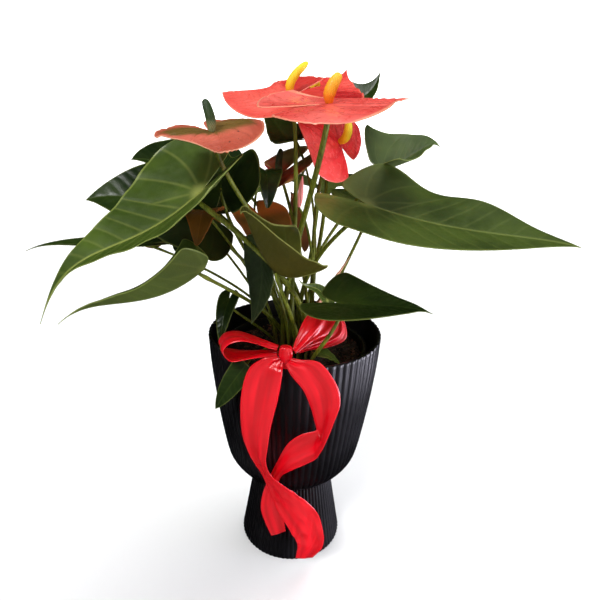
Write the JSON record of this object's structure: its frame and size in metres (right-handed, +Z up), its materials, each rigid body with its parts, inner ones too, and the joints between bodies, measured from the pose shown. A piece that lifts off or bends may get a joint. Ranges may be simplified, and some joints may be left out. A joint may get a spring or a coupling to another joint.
{
  "type": "potted anthurium",
  "caption": "Potted anthurium with heart-shaped glossy leaves and red blooms, in a dark fluted goblet pot tied with a red satin bow.",
  "frame": {"origin": "middle of the flat underside of the pot's foot", "axes": "+Z up along the pot's axis; the bow hangs on the -Y side and the longest leaves reach out over -X and +X"},
  "size_m": [0.3852, 0.2851, 0.4027],
  "materials": {
    "pot": "satin",
    "grow_pot": "matte",
    "soil": "matte",
    "leaf": "gloss",
    "bronze_leaf": "gloss",
    "peach_sheath": "satin",
    "stalk": "satin",
    "red_spathe": "gloss",
    "old_spathe": "gloss",
    "dark_spathe": "gloss",
    "pink_spathe": "satin",
    "yellow_spadix": "matte",
    "green_spadix": "matte",
    "ribbon": "satin"
  },
  "bodies": {
    "root": {"pot_foot": "pot", "pot_bowl": "pot", "grow_pot": "grow_pot", "soil": "soil", "leaf_left_large": "leaf", "leaf_right_large": "leaf", "leaf_right_upper": "leaf", "leaf_left_low": "leaf", "leaf_right_low": "leaf", "leaf_left_upper": "leaf", "leaf_left_rear": "leaf", "leaf_left_heart": "leaf", "leaf_centre_folded": "leaf", "leaf_centre_hanging": "leaf", "leaf_bronze_centre": "bronze_leaf", "leaf_bronze_left": "bronze_leaf", "leaf_left_dark": "leaf", "leaf_left_small": "leaf", "leaf_left_far": "leaf", "leaf_rear_top": "leaf", "leaf_under_bloom": "leaf", "leaf_centre_dark": "leaf", "leaf_rear_narrow": "leaf", "leaf_rim_left": "leaf", "leaf_rim_front": "leaf", "leaf_rim_right": "leaf", "leaf_right_small": "leaf", "leaf_rear_left": "leaf", "leaf_rear_middle": "leaf", "leaf_rear_right": "leaf", "leaf_peach_sheath": "peach_sheath", "bloom_front_stalk": "stalk", "bloom_front_spathe": "red_spathe", "bloom_front_spadix": "yellow_spadix", "bloom_left_stalk": "stalk", "bloom_left_spathe": "red_spathe", "bloom_left_spadix": "yellow_spadix", "bloom_low_stalk": "stalk", "bloom_low_spathe": "red_spathe", "bloom_low_spadix": "yellow_spadix", "bloom_rear_stalk": "stalk", "bloom_rear_spathe": "red_spathe", "bloom_rear_spadix": "yellow_spadix", "bloom_old_stalk": "stalk", "bloom_old_spathe": "old_spathe", "bloom_old_spadix": "green_spadix", "bloom_young_stalk": "stalk", "bloom_young_spathe": "dark_spathe", "bloom_young_spadix": "green_spadix", "bloom_bud_stalk": "stalk", "bloom_bud_spathe": "pink_spathe", "ribbon_knot": "ribbon", "ribbon_left_loop": "ribbon", "ribbon_right_loop": "ribbon", "ribbon_left_tail": "ribbon", "ribbon_right_tail": "ribbon"}
  },
  "joints": []
}
